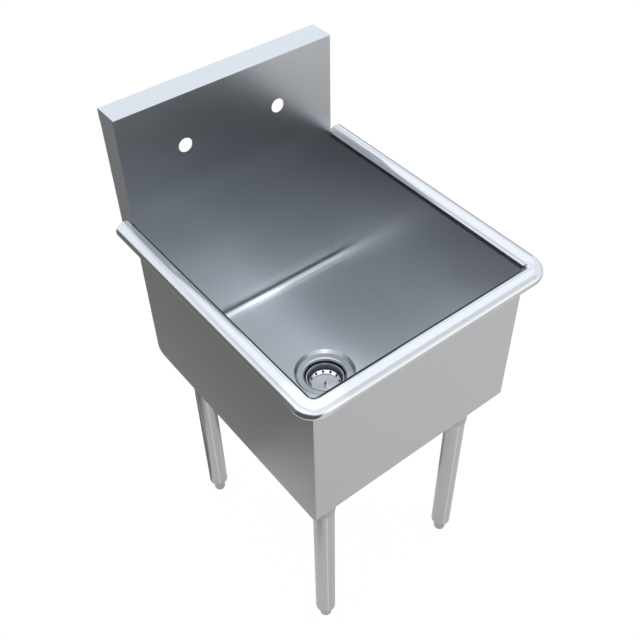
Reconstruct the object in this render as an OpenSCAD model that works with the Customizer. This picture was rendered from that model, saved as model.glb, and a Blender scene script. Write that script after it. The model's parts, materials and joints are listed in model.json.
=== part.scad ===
// Free-standing stainless utility laundry sink: a bent-sheet bowl with a tall boxed
// backsplash, a rolled rim on three sides, four tube legs with screw-out bullet feet,
// and a basket strainer in a pressed drain recess.
// Sizes are millimetres. +Z is up, -Y is the front, and the origin lies on the floor
// under the middle of the whole sink.

/* [Bowl] */
// Outside width over the two side panels
body_w = 460; // [400:5:620]
// Outer face of the front wall to the inner face of the rear wall
body_d = 527.5; // [420:2.5:640]
// Underside of the bowl to the centre of the rolled rim
wall_h = 331.5; // [240:0.5:400]
// Thickness of the bent sheet
sheet = 1.2; // [1:0.1:2]
// Outer radius of the soft bend between the rear wall and the floor
rear_bend_r = 19.5; // [14:0.5:40]
// Outer radius of the bend between the front wall and the floor
front_bend_r = 11.5; // [6:0.5:24]
// Height of the bowl's underside above the floor of the room
clear_h = 489; // [400:1:560]

/* [Rolled rim] */
// Outer radius of the roll
rim_r = 17; // [12:0.5:22]
// Angle that the roll turns through from the wall's inner face
rim_turn = 250; // [200:5:265]
// Radius of the rim's inner corners, seen from above
rim_corner_r = 6; // [4:0.5:16]
// Length of the side rolls behind the face of the backsplash
rim_tail = 5; // [3:1:40]

/* [Backsplash] */
// Height of the backsplash above the top of the rim
splash_h = 204.5; // [150:0.5:300]
// Depth of the backsplash's top ledge, face to rear
splash_d = 53; // [40:1:80]
// Outer radius of the ledge's two bends
splash_bend_r = 2; // [2:0.5:8]
// Length of the lip that turns down at the rear of the ledge
splash_lip = 25; // [15:1:50]
// How far the end plates reach below the centre of the rim
splash_end_drop = 24; // [18:1:60]
// Gap between each end plate and the roll beside it
splash_end_gap = 0.4; // [0.3:0.1:1]

/* [Tap holes] */
// Distance between the centres of the two tap holes
tap_spacing = 203.2; // [150:0.1:240]
// Diameter of each tap hole
tap_hole_d = 28; // [22:0.5:36]
// Height of the tap holes above the top of the rim
tap_hole_h = 103.5; // [60:0.5:130]

/* [Legs] */
// Outside diameter of the leg tubes
leg_d = 41.3; // [32:0.1:50]
// Wall of the leg tubes
leg_wall = 1.4; // [1:0.1:3]
// Side panel's outer face to the leg's axis
leg_side_inset = 58.5; // [52:0.5:90]
// Front wall's outer face to the front legs' axis
leg_front_inset = 54; // [50:0.5:90]
// Rear wall's outer face to the rear legs' axis
leg_rear_inset = 57; // [50:0.5:90]

/* [Leg sockets] */
// Height of a socket below the bowl
socket_h = 80; // [60:1:110]
// Width of the round weld plate outside the cone
socket_plate_land = 13; // [8:0.5:16]
// Thickness of the weld plate
socket_plate_t = 2; // [1.5:0.1:4]
// How far the cone flares out from the collar to the weld plate
socket_flare = 10.4; // [6:0.1:16]
// Wall of the cone and the collar
socket_wall = 1.8; // [1.2:0.1:3]
// Length of the straight collar at the foot of the cone
socket_collar_h = 12; // [10:1:20]
// Length of the turned-in lip under the collar
socket_lip_h = 9; // [4:1:16]
// Clearance between a leg and the socket's bore
socket_fit = 0.15; // [0.05:0.05:0.5]
// Diameter of the clamping screw
set_screw_d = 8; // [5:0.5:8]
// Length of the clamping screw
set_screw_len = 12; // [10:0.5:16]
// Diameter of the boss that the clamping screw turns in
set_screw_boss_d = 11; // [10:0.5:12]
// Height of that boss above the collar
set_screw_boss_h = 6; // [4:0.5:8]
// Width across the flats of the screw's hexagon recess
set_screw_key = 4; // [2.5:0.5:4]

/* [Feet] */
// Diameter of the bullet foot
foot_d = 25; // [18:0.5:26]
// Length of foot that shows below its insert
foot_show = 38; // [24:1:50]
// Length of foot held inside its insert
foot_held = 36; // [32:1:44]
// Radius of the foot's rounded nose
foot_nose_r = 9; // [5:0.5:11]
// Clearance between the foot and its insert
foot_fit = 0.1; // [0.05:0.05:0.3]
// Thickness of the insert's end flange
insert_flange_t = 3; // [2:0.5:6]
// Length of the insert inside the tube
insert_len = 42; // [38:1:60]

/* [Drain recess] */
// Flat land of the pressed recess outside the strainer's flange
recess_land = 0.65; // [0.5:0.05:8]
// Depth of the pressed recess
recess_depth = 9; // [3:0.5:12]
// Width of the recess's sloping edge
recess_slope_w = 5.2; // [2:0.1:8]
// Diameter of the drain opening
drain_hole_d = 88.9; // [88.9:0.1:92]

/* [Strainer body] */
// How far the flange reaches past the drain opening
flange_reach = 12.7; // [11:0.1:16]
// Thickness of the pressed metal
strainer_t = 1.2; // [1:0.1:1.4]
// Radius of the rolled edge between the flange and the throat
throat_roll_r = 4.5; // [2.5:0.5:5]
// Radial gap between the threaded throat and the drain opening
throat_gap = 1.25; // [0.8:0.05:2]
// Depth of the threaded throat below the flange
throat_h = 24; // [22:1:30]
// Step in from the throat's bore to the cup's bore
cup_step = 1.75; // [1:0.05:3]
// Depth of the cup at its wall, below the flange
cup_h = 40; // [38:1:60]
// Fall of the cup's floor from its wall to the outlet
cup_fall = 4; // [2:0.5:10]
// Outside diameter of the threaded outlet
outlet_d = 47.8; // [44:0.1:50]
// Wall of the outlet
outlet_wall = 2.4; // [1.5:0.1:4]
// Length of the outlet below the cup
outlet_h = 26; // [18:1:45]
// Outside diameter of the hub that steadies the basket's stem
hub_d = 11; // [9:0.5:14]
// Height of the hub and its spokes
hub_h = 5; // [3:0.5:8]
// Depth of the hub's top below the outlet's mouth
hub_drop = 4; // [2:0.5:8]
// Width of a spoke
spoke_w = 2.4; // [1.5:0.1:4]
// Number of spokes
spoke_count = 4; // [3:1:6]

/* [Strainer fixings] */
// Thickness of the seal under the flange
seal_t = 1; // [0.5:0.1:1.5]
// Thickness of the rubber gasket under the bowl
gasket_t = 3; // [2:0.5:5]
// How far the gasket's edge lies inside the flange's edge
gasket_inset = 1.15; // [0.5:0.05:4]
// Thickness of the friction ring
friction_ring_t = 1; // [0.5:0.1:2]
// Thickness of the lock nut
nut_h = 8; // [6:0.5:12]
// Radial width of the lock nut's ring
nut_ring_w = 6.65; // [5:0.05:9]
// How far the lock nut's lugs stand out of its ring
nut_lug_out = 5; // [3:0.5:6]
// Width of a lug
nut_lug_w = 11; // [8:0.5:16]
// Number of lugs
nut_lug_count = 6; // [4:1:8]
// Radial clearance of the nut and rings on the throat
throat_fit = 0.15; // [0.05:0.05:0.5]

/* [Basket] */
// Thickness of the basket's metal
basket_t = 0.8; // [0.6:0.1:1.2]
// Radial gap between the basket's rolled lip and the throat
basket_gap = 2.6; // [1:0.1:4]
// Width of that lip
basket_lip_w = 2; // [1.5:0.1:3]
// Depth of the lip below the strainer's flange
basket_drop = 9.8; // [6:0.1:12]
// Depth of the basket
basket_h = 19.5; // [16:0.5:24]
// How far the basket's wall slopes in from its lip to its foot
basket_taper = 5.4; // [2:0.1:8]
// Width of the perforated bevel round the basket's floor
basket_bevel_w = 4; // [3:0.1:6]
// Height of that bevel
basket_bevel_h = 6; // [2:0.1:8]
// Diameter of a perforation
basket_hole_d = 3.4; // [2:0.1:4.2]
// Number of perforations in the bevel
basket_hole_count = 12; // [8:1:20]
// Diameter of the lifting post
post_d = 2.6; // [2:0.1:5]
// Height of the post above the basket's floor, knob included
post_h = 17; // [12:0.5:22]
// Diameter of the post's round knob
knob_d = 5; // [5:0.1:10]
// Diameter of the post's foot on the basket's floor
post_foot_d = 4; // [3:0.1:10]
// Thickness of that foot
post_foot_t = 0.8; // [0.5:0.1:3]
// Diameter of the stem below the basket
stem_d = 5; // [4:0.1:6]
// How far the rubber stopper covers the seat outside the outlet's bore
stopper_cover = 5.5; // [4:0.1:9]
// Depth that the stopper's rim is cut back at its top
stopper_taper = 3; // [1:0.5:4]
// Gap between the closed stopper and its seat, and round the stem in its hub
stopper_gap = 0.3; // [0.2:0.1:0.6]

/* [Hidden] */
$fn = 96;

// Overrun of every cut past the face that it opens
cut = 1;
// Clearance between an insert and the bore of its tube
insert_fit = 0.05;
// Length by which a roll, the backsplash or the recess runs on into the sheet that it grows from
lap = 3;
// Gap between the tip of a clamping screw and its leg
screw_tip_gap = 0.1;
// Radial clearance of a clamping screw in its boss
screw_fit = 0.05;
// Clearance of the stem in the basket and the stopper
stem_fit = 0.05;

// Side and end of the sink, as used by the corner modules
LEFT = -1;
RIGHT = 1;
FRONT = 0;
REAR = 1;

inner_w = body_w - 2 * sheet;
splash_w = inner_w - 2 * splash_end_gap;
rim_out = 2 * rim_r - sheet;
front_y = (rim_out - body_d - splash_d) / 2;
front_inner_y = front_y + sheet;
rear_inner_y = front_y + body_d;
rear_outer_y = rear_inner_y + sheet;
rim_z = clear_h + wall_h;
rim_top_z = rim_z + rim_r;
splash_top_z = rim_top_z + splash_h;
floor_z = clear_h + sheet;

leg_r = leg_d / 2;
leg_top_z = clear_h - socket_plate_t;
insert_z = foot_show;
leg_bottom_z = insert_z + insert_flange_t;
socket_bore_r = leg_r + socket_fit;
collar_r = socket_bore_r + socket_wall;
socket_cone_r = collar_r + socket_flare;
socket_plate_r = socket_cone_r + socket_plate_land;
foot_r = foot_d / 2;

drain_y = (front_inner_y + rear_inner_y) / 2;
drain_hole_r = drain_hole_d / 2;
flange_r = drain_hole_r + flange_reach;
recess_flat_r = flange_r + recess_land;
recess_r = recess_flat_r + recess_slope_w;
recess_mitre = sheet * tan(atan2(recess_depth, recess_slope_w) / 2);
flange_z = floor_z - recess_depth + seal_t + strainer_t;
thread_r = drain_hole_r - throat_gap;
throat_r = thread_r - strainer_t;
gasket_r = flange_r - gasket_inset;
ring_bore_r = thread_r + throat_fit;
gasket_z = floor_z - recess_depth - sheet;
friction_ring_z = gasket_z - gasket_t;
nut_z = friction_ring_z - friction_ring_t;
outlet_r = outlet_d / 2;
outlet_bore_r = outlet_r - outlet_wall;
cup_r = throat_r - cup_step;
outlet_z = -cup_h - cup_fall;
basket_floor_z = -basket_drop - basket_h;
basket_under_z = basket_floor_z - basket_t;
basket_wall_foot_z = basket_floor_z + basket_bevel_h;
basket_lip_r = throat_r - basket_gap;
basket_foot_r = basket_lip_r - basket_lip_w - basket_taper;
basket_floor_r = basket_foot_r - basket_bevel_w;
stem_r = stem_d / 2;
stopper_r = outlet_bore_r + stopper_cover;
nut_r = ring_bore_r + nut_ring_w;

// Height of the cup's sloping floor at a radius, below the flange
function cup_floor_z(r) = -cup_h - cup_fall * (cup_r - r) / (cup_r - outlet_bore_r);

// Part of a ring between two angles, drawn round the origin
module ring_sector(outer_r, inner_r, from, to) {
    steps = ceil((to - from) / 45);
    fan_r = 2 * outer_r;
    intersection() {
        difference() {
            circle(outer_r);
            circle(inner_r);
        }
        polygon([
            [0, 0],
            for (i = [0:steps])
                let (a = from + (to - from) * i / steps) [fan_r * cos(a), fan_r * sin(a)]
        ]);
    }
}

// Space left outside a rounded corner of radius r at the origin, opening to +X and +Y
module corner_waste(r) {
    difference() {
        translate([-cut, -cut]) square(r + cut);
        translate([r, r]) circle(r);
    }
}

// Turns a front-to-rear section into a solid that runs across the sink
module across(width) {
    rotate([90, 0, 90]) linear_extrude(width, center = true) children();
}

// Section of the curled rim: the wall's inner face is at x = 0 and the roll's centre at y = 0
module roll_section() {
    translate([rim_r, 0]) ring_sector(rim_r, rim_r - sheet, 180 - rim_turn, 180);
}

// The same with a tail that runs down inside its wall
module rooted_roll_section() {
    roll_section();
    translate([0, -lap]) square([sheet, lap]);
}

// Side outline of the bowl up to the rim's centre, drawn inward by inset
module bowl_outline(inset) {
    length = body_d + sheet - 2 * inset;
    extra = inset > 0 ? cut : 0;
    translate([front_y + inset, clear_h + inset]) difference() {
        square([length, wall_h - inset + extra]);
        corner_waste(front_bend_r - inset);
        translate([length, 0]) mirror([1, 0]) corner_waste(rear_bend_r - inset);
    }
}

// Side outline of the boxed backsplash, drawn inward by inset, down to a given height
module splash_outline(inset, bottom_z) {
    length = splash_d - 2 * inset;
    bend_r = splash_bend_r - inset;
    translate([rear_inner_y + inset, bottom_z]) difference() {
        square([length, splash_top_z - inset - bottom_z]);
        translate([0, splash_top_z - inset - bottom_z]) {
            mirror([0, 1]) corner_waste(bend_r);
            translate([length, 0]) mirror([1, 0]) mirror([0, 1]) corner_waste(bend_r);
        }
    }
}

// Front wall, floor and rear wall, bent from one sheet
module bowl_section() {
    difference() {
        bowl_outline(0);
        bowl_outline(sheet);
    }
}

// Face, ledge and rear lip of the backsplash
module splash_section() {
    difference() {
        splash_outline(0, rim_z - lap);
        splash_outline(sheet, rim_z - lap - cut);
        translate([rear_inner_y + splash_d / 2, rim_z - lap - cut])
            square([splash_d, splash_top_z - splash_lip - rim_z + lap + cut]);
    }
}

// Pressed drain recess with a rim of the bowl's floor, revolved round the drain's axis
module recess() {
    rotate_extrude() polygon([
        [drain_hole_r, -recess_depth], [recess_flat_r, -recess_depth], [recess_r, 0],
        [recess_r + lap, 0], [recess_r + lap, -sheet], [recess_r + recess_mitre, -sheet],
        [recess_flat_r + recess_mitre, -recess_depth - sheet], [drain_hole_r, -recess_depth - sheet]
    ]);
}

module bowl_sheet() {
    color("gainsboro") difference() {
        union() {
            difference() {
                across(inner_w) bowl_section();
                translate([0, drain_y, clear_h - cut]) cylinder(r = recess_r, h = sheet + 2 * cut);
            }
            across(splash_w) splash_section();
            across(inner_w - 2 * rim_corner_r)
                translate([front_inner_y, rim_z]) mirror([1, 0]) rooted_roll_section();
            translate([0, drain_y, floor_z]) recess();
        }
        for (side = [LEFT, RIGHT])
            translate([side * tap_spacing / 2, rear_inner_y - cut, rim_top_z + tap_hole_h])
                rotate([-90, 0, 0]) cylinder(d = tap_hole_d, h = sheet + 2 * cut);
    }
}

// Right-hand side panel with its roll
module side_panel() {
    run = rear_inner_y + rim_tail - front_inner_y - rim_corner_r;
    color("silver") union() {
        translate([inner_w / 2 + sheet / 2, 0, 0]) across(sheet) bowl_outline(0);
        translate([inner_w / 2, rear_inner_y + rim_tail, rim_z])
            rotate([90, 0, 0]) linear_extrude(run) rooted_roll_section();
    }
}

// Right-hand formed corner of the rim, with the web that closes it to the two walls
module rim_corner() {
    color("whitesmoke") translate([inner_w / 2 - rim_corner_r, front_inner_y + rim_corner_r, rim_z]) {
        rotate([0, 0, -90]) rotate_extrude(angle = 90) translate([rim_corner_r, 0]) roll_section();
        translate([0, 0, -sheet]) linear_extrude(sheet) difference() {
            translate([sheet, -rim_corner_r]) square(rim_corner_r - sheet);
            circle(rim_corner_r);
        }
    }
}

// Right-hand end plate of the backsplash
module splash_end() {
    color("silver") translate([splash_w / 2 - sheet / 2, 0, 0])
        across(sheet) splash_outline(sheet, rim_z - splash_end_drop);
}

module left_side_panel() { mirror([1, 0, 0]) side_panel(); }
module right_side_panel() { side_panel(); }
module left_rim_corner() { mirror([1, 0, 0]) rim_corner(); }
module right_rim_corner() { rim_corner(); }
module left_splash_end() { mirror([1, 0, 0]) splash_end(); }
module right_splash_end() { splash_end(); }

// Moves a leg's own parts to one corner of the bowl
module at_corner(side, end) {
    x = side * (body_w / 2 - leg_side_inset);
    y = end == FRONT ? front_y + leg_front_inset : rear_outer_y - leg_rear_inset;
    translate([x, y, 0]) children();
}

// Turns the clamping screw to the corner's inner side, where it is out of sight
function screw_angle(side, end) = atan2(end == FRONT ? 1 : -1, -side);

// Height of the clamping screw's axis
screw_z = clear_h - socket_h + socket_lip_h + socket_collar_h / 2;

// Lays a cylinder along the clamping screw's axis, starting at a distance from the leg's axis
module along_screw(start, length, d) {
    translate([start, 0, screw_z]) rotate([0, 90, 0]) cylinder(d = d, h = length);
}

// Round weld plate, cone, collar and turned-in lip, with a boss for the clamping screw
module leg_socket(side, end) {
    boss_end = collar_r + set_screw_boss_h;
    color("darkgray") at_corner(side, end) rotate([0, 0, screw_angle(side, end)]) difference() {
        union() {
            translate([0, 0, clear_h]) rotate_extrude() polygon([
                [0, 0], [socket_plate_r, 0], [socket_plate_r, -socket_plate_t],
                [socket_cone_r, -socket_plate_t],
                [collar_r, socket_collar_h + socket_lip_h - socket_h],
                [collar_r, socket_lip_h - socket_h],
                [socket_bore_r + socket_wall / 2, -socket_h],
                [socket_bore_r, -socket_h],
                [socket_bore_r, socket_collar_h + socket_lip_h - socket_h],
                [socket_cone_r - socket_wall, -socket_plate_t],
                [0, -socket_plate_t]
            ]);
            along_screw(socket_bore_r + socket_wall / 2, boss_end - socket_bore_r - socket_wall / 2,
                set_screw_boss_d);
        }
        along_screw(leg_r, boss_end + cut - leg_r, set_screw_d + 2 * screw_fit);
    }
}

module leg_socket_front_left() { leg_socket(LEFT, FRONT); }
module leg_socket_front_right() { leg_socket(RIGHT, FRONT); }
module leg_socket_rear_left() { leg_socket(LEFT, REAR); }
module leg_socket_rear_right() { leg_socket(RIGHT, REAR); }

// Four clamping screws with hexagon recesses
module socket_set_screws() {
    key_depth = set_screw_len / 2;
    start = leg_r + screw_tip_gap;
    for (side = [LEFT, RIGHT], end = [FRONT, REAR])
        color("dimgray") at_corner(side, end) rotate([0, 0, screw_angle(side, end)]) difference() {
            along_screw(start, set_screw_len, set_screw_d);
            translate([start + set_screw_len - key_depth, 0, screw_z]) rotate([0, 90, 0])
                cylinder(r = set_screw_key / sqrt(3), h = key_depth + cut, $fn = 6);
        }
}

// Straight leg tube
module leg_tube(side, end) {
    length = leg_top_z - leg_bottom_z;
    color("lightgray") at_corner(side, end) translate([0, 0, leg_bottom_z]) difference() {
        cylinder(r = leg_r, h = length);
        translate([0, 0, -cut]) cylinder(r = leg_r - leg_wall, h = length + 2 * cut);
    }
}

module leg_front_left() { leg_tube(LEFT, FRONT); }
module leg_front_right() { leg_tube(RIGHT, FRONT); }
module leg_rear_left() { leg_tube(LEFT, REAR); }
module leg_rear_right() { leg_tube(RIGHT, REAR); }

// Plug in the foot of a tube, bored for the bullet foot
module foot_insert(side, end) {
    chamfer = insert_flange_t / 3;
    plug_r = leg_r - leg_wall - insert_fit;
    bore_r = foot_r + foot_fit;
    color("darkgray") at_corner(side, end) translate([0, 0, insert_z]) rotate_extrude() polygon([
        [bore_r, 0], [leg_r - chamfer, 0], [leg_r, chamfer], [leg_r, insert_flange_t],
        [plug_r, insert_flange_t], [plug_r, insert_flange_t + insert_len],
        [bore_r, insert_flange_t + insert_len]
    ]);
}

module foot_insert_front_left() { foot_insert(LEFT, FRONT); }
module foot_insert_front_right() { foot_insert(RIGHT, FRONT); }
module foot_insert_rear_left() { foot_insert(LEFT, REAR); }
module foot_insert_rear_right() { foot_insert(RIGHT, REAR); }

// Bullet foot: a round bar with a rounded nose that stands on the floor
module foot(side, end) {
    length = foot_show + foot_held;
    chamfer = foot_r / 8;
    color("gray") at_corner(side, end) rotate_extrude() {
        translate([0, foot_nose_r]) polygon([
            [0, 0], [foot_r, 0], [foot_r, length - foot_nose_r - chamfer],
            [foot_r - chamfer, length - foot_nose_r], [0, length - foot_nose_r]
        ]);
        square([foot_r - foot_nose_r, foot_nose_r]);
        translate([foot_r - foot_nose_r, foot_nose_r]) ring_sector(foot_nose_r, 0, 270, 360);
    }
}

module foot_front_left() { foot(LEFT, FRONT); }
module foot_front_right() { foot(RIGHT, FRONT); }
module foot_rear_left() { foot(LEFT, REAR); }
module foot_rear_right() { foot(RIGHT, REAR); }

// Moves a drain part whose heights are given below the strainer's flange
module at_flange() {
    translate([0, drain_y, flange_z]) children();
}

// Flange, rolled edge, threaded throat, cup, outlet and the spoked hub in the outlet
module strainer_body() {
    roll_r = throat_roll_r;
    roll_x = throat_r + roll_r;
    cup_out_r = cup_r + strainer_t;
    hub_z = outlet_z - hub_drop - hub_h;
    color("silver") at_flange() {
        rotate_extrude() {
            translate([roll_x, -strainer_t]) square([flange_r - roll_x, strainer_t]);
            translate([roll_x, -roll_r]) ring_sector(roll_r, roll_r - strainer_t, 90, 180);
            polygon([
                [throat_r, -roll_r], [throat_r, -throat_h], [cup_r, -throat_h - strainer_t],
                [cup_r, -cup_h], [outlet_bore_r, outlet_z], [outlet_bore_r, outlet_z - outlet_h],
                [outlet_r, outlet_z - outlet_h], [outlet_r, outlet_z - strainer_t],
                [cup_out_r, -cup_h - strainer_t], [cup_out_r, -throat_h - 2 * strainer_t],
                [thread_r, -throat_h - strainer_t], [thread_r, -roll_r]
            ]);
        }
        translate([0, 0, hub_z]) difference() {
            union() {
                cylinder(d = hub_d, h = hub_h);
                intersection() {
                    cylinder(r = outlet_r - outlet_wall / 2, h = hub_h);
                    for (i = [0:spoke_count - 1])
                        rotate([0, 0, i * 360 / spoke_count])
                            translate([0, -spoke_w / 2, 0]) cube([outlet_r, spoke_w, hub_h]);
                }
            }
            translate([0, 0, -cut]) cylinder(r = stem_r + stopper_gap, h = hub_h + 2 * cut);
        }
    }
}

// Flat ring round the drain, from a bottom height
module drain_ring(outer_r, inner_r, height) {
    rotate_extrude() translate([inner_r, 0]) square([outer_r - inner_r, height]);
}

module flange_seal() {
    edge = throat_roll_r / 2;
    color("dimgray") translate([0, drain_y, floor_z - recess_depth])
        drain_ring(flange_r - edge, drain_hole_r + edge, seal_t);
}

module rubber_gasket() {
    color("black") translate([0, drain_y, gasket_z - gasket_t])
        drain_ring(gasket_r, ring_bore_r, gasket_t);
}

module friction_ring() {
    color("tan") translate([0, drain_y, friction_ring_z - friction_ring_t])
        drain_ring(gasket_r, ring_bore_r, friction_ring_t);
}

// Lock nut: a flat ring with square lugs for a spanner
module lock_nut() {
    color("darkgray") translate([0, drain_y, nut_z - nut_h]) linear_extrude(nut_h) difference() {
        union() {
            circle(nut_r);
            for (i = [0:nut_lug_count - 1])
                rotate(i * 360 / nut_lug_count)
                    translate([0, -nut_lug_w / 2]) square([nut_r + nut_lug_out, nut_lug_w]);
        }
        circle(ring_bore_r);
    }
}

// Pressed basket: rolled lip, sloping wall, perforated bevel and flat floor
module basket_cup() {
    wall_top_r = basket_lip_r - basket_lip_w;
    color("whitesmoke") at_flange() difference() {
        rotate_extrude() polygon([
            [stem_r + stem_fit, basket_floor_z], [basket_floor_r, basket_floor_z],
            [basket_foot_r, basket_wall_foot_z], [wall_top_r, -basket_drop],
            [basket_lip_r, -basket_drop], [basket_lip_r, -basket_drop - 2 * basket_t],
            [basket_lip_r - basket_t, -basket_drop - 2 * basket_t],
            [basket_lip_r - basket_t, -basket_drop - basket_t],
            [wall_top_r + basket_t, -basket_drop - basket_t],
            [basket_foot_r + basket_t, basket_wall_foot_z - basket_t / 2],
            [basket_floor_r + basket_t / 2, basket_under_z], [stem_r + stem_fit, basket_under_z]
        ]);
        for (i = [0:basket_hole_count - 1])
            rotate([0, 0, i * 360 / basket_hole_count])
                translate([basket_floor_r + basket_bevel_w / 2, 0, basket_floor_z + basket_bevel_h / 2])
                    rotate([0, -atan2(basket_bevel_h, basket_bevel_w), 0])
                        cylinder(d = basket_hole_d, h = 2 * basket_t + 2 * cut, center = true);
    }
}

// Lifting post with its knob, foot and the stem that runs down through the hub
module basket_post() {
    stem_end_z = outlet_z - hub_drop - hub_h - hub_h / 2;
    knob_z = basket_floor_z + post_h - knob_d / 2;
    color("white") at_flange() union() {
        translate([0, 0, knob_z]) sphere(d = knob_d);
        translate([0, 0, basket_floor_z]) {
            cylinder(d = post_d, h = knob_z - basket_floor_z);
            cylinder(d = post_foot_d, h = post_foot_t);
        }
        translate([0, 0, stem_end_z]) cylinder(r = stem_r, h = basket_floor_z - stem_end_z);
    }
}

// Rubber stopper that closes on the cup's floor round the outlet
module basket_stopper() {
    inner_seat_r = outlet_bore_r - stopper_gap;
    color("black") at_flange() rotate_extrude() polygon([
        [stem_r + stem_fit, basket_under_z], [stopper_r - stopper_taper, basket_under_z],
        [stopper_r, basket_under_z - stopper_taper],
        [stopper_r, cup_floor_z(stopper_r) + stopper_gap],
        [inner_seat_r, cup_floor_z(inner_seat_r) + stopper_gap],
        [stem_r + stem_fit, cup_floor_z(inner_seat_r) + stopper_gap]
    ]);
}

bowl_sheet();
left_side_panel();
right_side_panel();
left_rim_corner();
right_rim_corner();
left_splash_end();
right_splash_end();
leg_socket_front_left();
leg_socket_front_right();
leg_socket_rear_left();
leg_socket_rear_right();
socket_set_screws();
leg_front_left();
leg_front_right();
leg_rear_left();
leg_rear_right();
foot_insert_front_left();
foot_insert_front_right();
foot_insert_rear_left();
foot_insert_rear_right();
foot_front_left();
foot_front_right();
foot_rear_left();
foot_rear_right();
strainer_body();
flange_seal();
rubber_gasket();
friction_ring();
lock_nut();
basket_cup();
basket_post();
basket_stopper();
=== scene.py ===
"""Looks and studio for a free-standing stainless utility laundry sink.

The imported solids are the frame. This script dresses them as brushed, spun and cast metal, adds
the welds and threads that the solids leave out, and lights them in a white studio.
"""

import json
import logging
import math
from dataclasses import dataclass, field
from enum import Enum
from typing import Any, Sequence

import bpy
from mathutils import Matrix, Vector

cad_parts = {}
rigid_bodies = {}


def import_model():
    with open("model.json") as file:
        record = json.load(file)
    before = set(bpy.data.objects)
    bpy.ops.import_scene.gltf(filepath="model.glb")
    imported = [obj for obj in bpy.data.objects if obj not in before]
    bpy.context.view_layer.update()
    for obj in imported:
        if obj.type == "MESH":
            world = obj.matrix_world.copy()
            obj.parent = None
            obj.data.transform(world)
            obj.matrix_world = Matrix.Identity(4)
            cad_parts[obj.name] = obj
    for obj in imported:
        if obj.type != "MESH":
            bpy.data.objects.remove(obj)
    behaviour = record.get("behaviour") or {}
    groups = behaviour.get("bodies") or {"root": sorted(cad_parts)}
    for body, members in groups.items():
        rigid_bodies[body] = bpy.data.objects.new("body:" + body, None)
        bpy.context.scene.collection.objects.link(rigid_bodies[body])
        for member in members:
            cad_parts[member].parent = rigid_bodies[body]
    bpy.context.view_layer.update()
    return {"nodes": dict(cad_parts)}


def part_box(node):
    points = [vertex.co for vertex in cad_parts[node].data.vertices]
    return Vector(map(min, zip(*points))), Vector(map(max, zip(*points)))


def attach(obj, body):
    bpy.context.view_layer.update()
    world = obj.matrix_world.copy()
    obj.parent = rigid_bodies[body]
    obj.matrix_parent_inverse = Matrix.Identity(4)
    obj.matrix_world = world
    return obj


LOG = logging.getLogger("laundry_sink")
SINK = "sink"
WHITE = (1.0, 1.0, 1.0, 1.0)

Number = "float | Term"
Pair = tuple[float, float]
Triple = tuple[float, float, float]
Colour = tuple[float, float, float]
# Pairs of a height and the share of the colour that is left there, from the lowest up, for painted shade
# and painted highlight
Shades = tuple[Pair, ...]


def clear_start_objects() -> None:
    """Removes whatever the start file holds, so that the scene starts empty."""
    for thing in list(bpy.data.objects):
        bpy.data.objects.remove(thing)


clear_start_objects()
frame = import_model()


class Term:
    """A number that varies over a surface, which Python's operators extend with Math nodes."""

    def __init__(self, bench: "Bench", socket: bpy.types.NodeSocket) -> None:
        """Keeps the socket and the bench that makes further nodes.

        Args:
            bench: The bench of the tree that the socket is in.
            socket: The output socket that carries the number.
        """
        self.bench = bench
        self.socket = socket

    def _maths(self, operation: str, *terms: Number) -> "Term":
        """Adds one Math node.

        Args:
            operation: Its operation.
            *terms: Its inputs in order.

        Returns:
            The node's result.
        """
        return self.bench.node("ShaderNodeMath", {"operation": operation}, dict(enumerate(terms)))

    def __add__(self, other: Number) -> "Term":
        """Sum."""
        return self._maths("ADD", self, other)

    def __radd__(self, other: Number) -> "Term":
        """Sum, number first."""
        return self._maths("ADD", other, self)

    def __sub__(self, other: Number) -> "Term":
        """Difference."""
        return self._maths("SUBTRACT", self, other)

    def __rsub__(self, other: Number) -> "Term":
        """Difference, number first."""
        return self._maths("SUBTRACT", other, self)

    def __mul__(self, other: Number) -> "Term":
        """Product."""
        return self._maths("MULTIPLY", self, other)

    def __rmul__(self, other: Number) -> "Term":
        """Product, number first."""
        return self._maths("MULTIPLY", other, self)

    def __truediv__(self, other: Number) -> "Term":
        """Quotient."""
        return self._maths("DIVIDE", self, other)

    def __rtruediv__(self, other: Number) -> "Term":
        """Quotient, number first."""
        return self._maths("DIVIDE", other, self)

    def __pow__(self, other: Number) -> "Term":
        """Power."""
        return self._maths("POWER", self, other)

    def at_most(self, other: Number) -> "Term":
        """The smaller of two."""
        return self._maths("MINIMUM", self, other)

    def at_least(self, other: Number) -> "Term":
        """The larger of two."""
        return self._maths("MAXIMUM", self, other)

    def fraction(self) -> "Term":
        """What is left over the whole number below it."""
        return self._maths("FRACT", self)

    def angle_to(self, across: "Term") -> "Term":
        """The angle of the point whose height is this and whose reach is across."""
        return self._maths("ARCTAN2", self, across)

    def step(self, low: float, high: float) -> "Term":
        """Rises smoothly from 0 at low to 1 at high, or falls where high is the smaller.

        Args:
            low: Value that gives 0.
            high: Value that gives 1.

        Returns:
            The smoothed step.
        """
        settings = {"interpolation_type": "SMOOTHSTEP"}
        if low < high:
            return self.bench.node("ShaderNodeMapRange", settings, {0: self, 1: low, 2: high})
        return 1 - self.bench.node("ShaderNodeMapRange", settings, {0: self, 1: high, 2: low})


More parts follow.
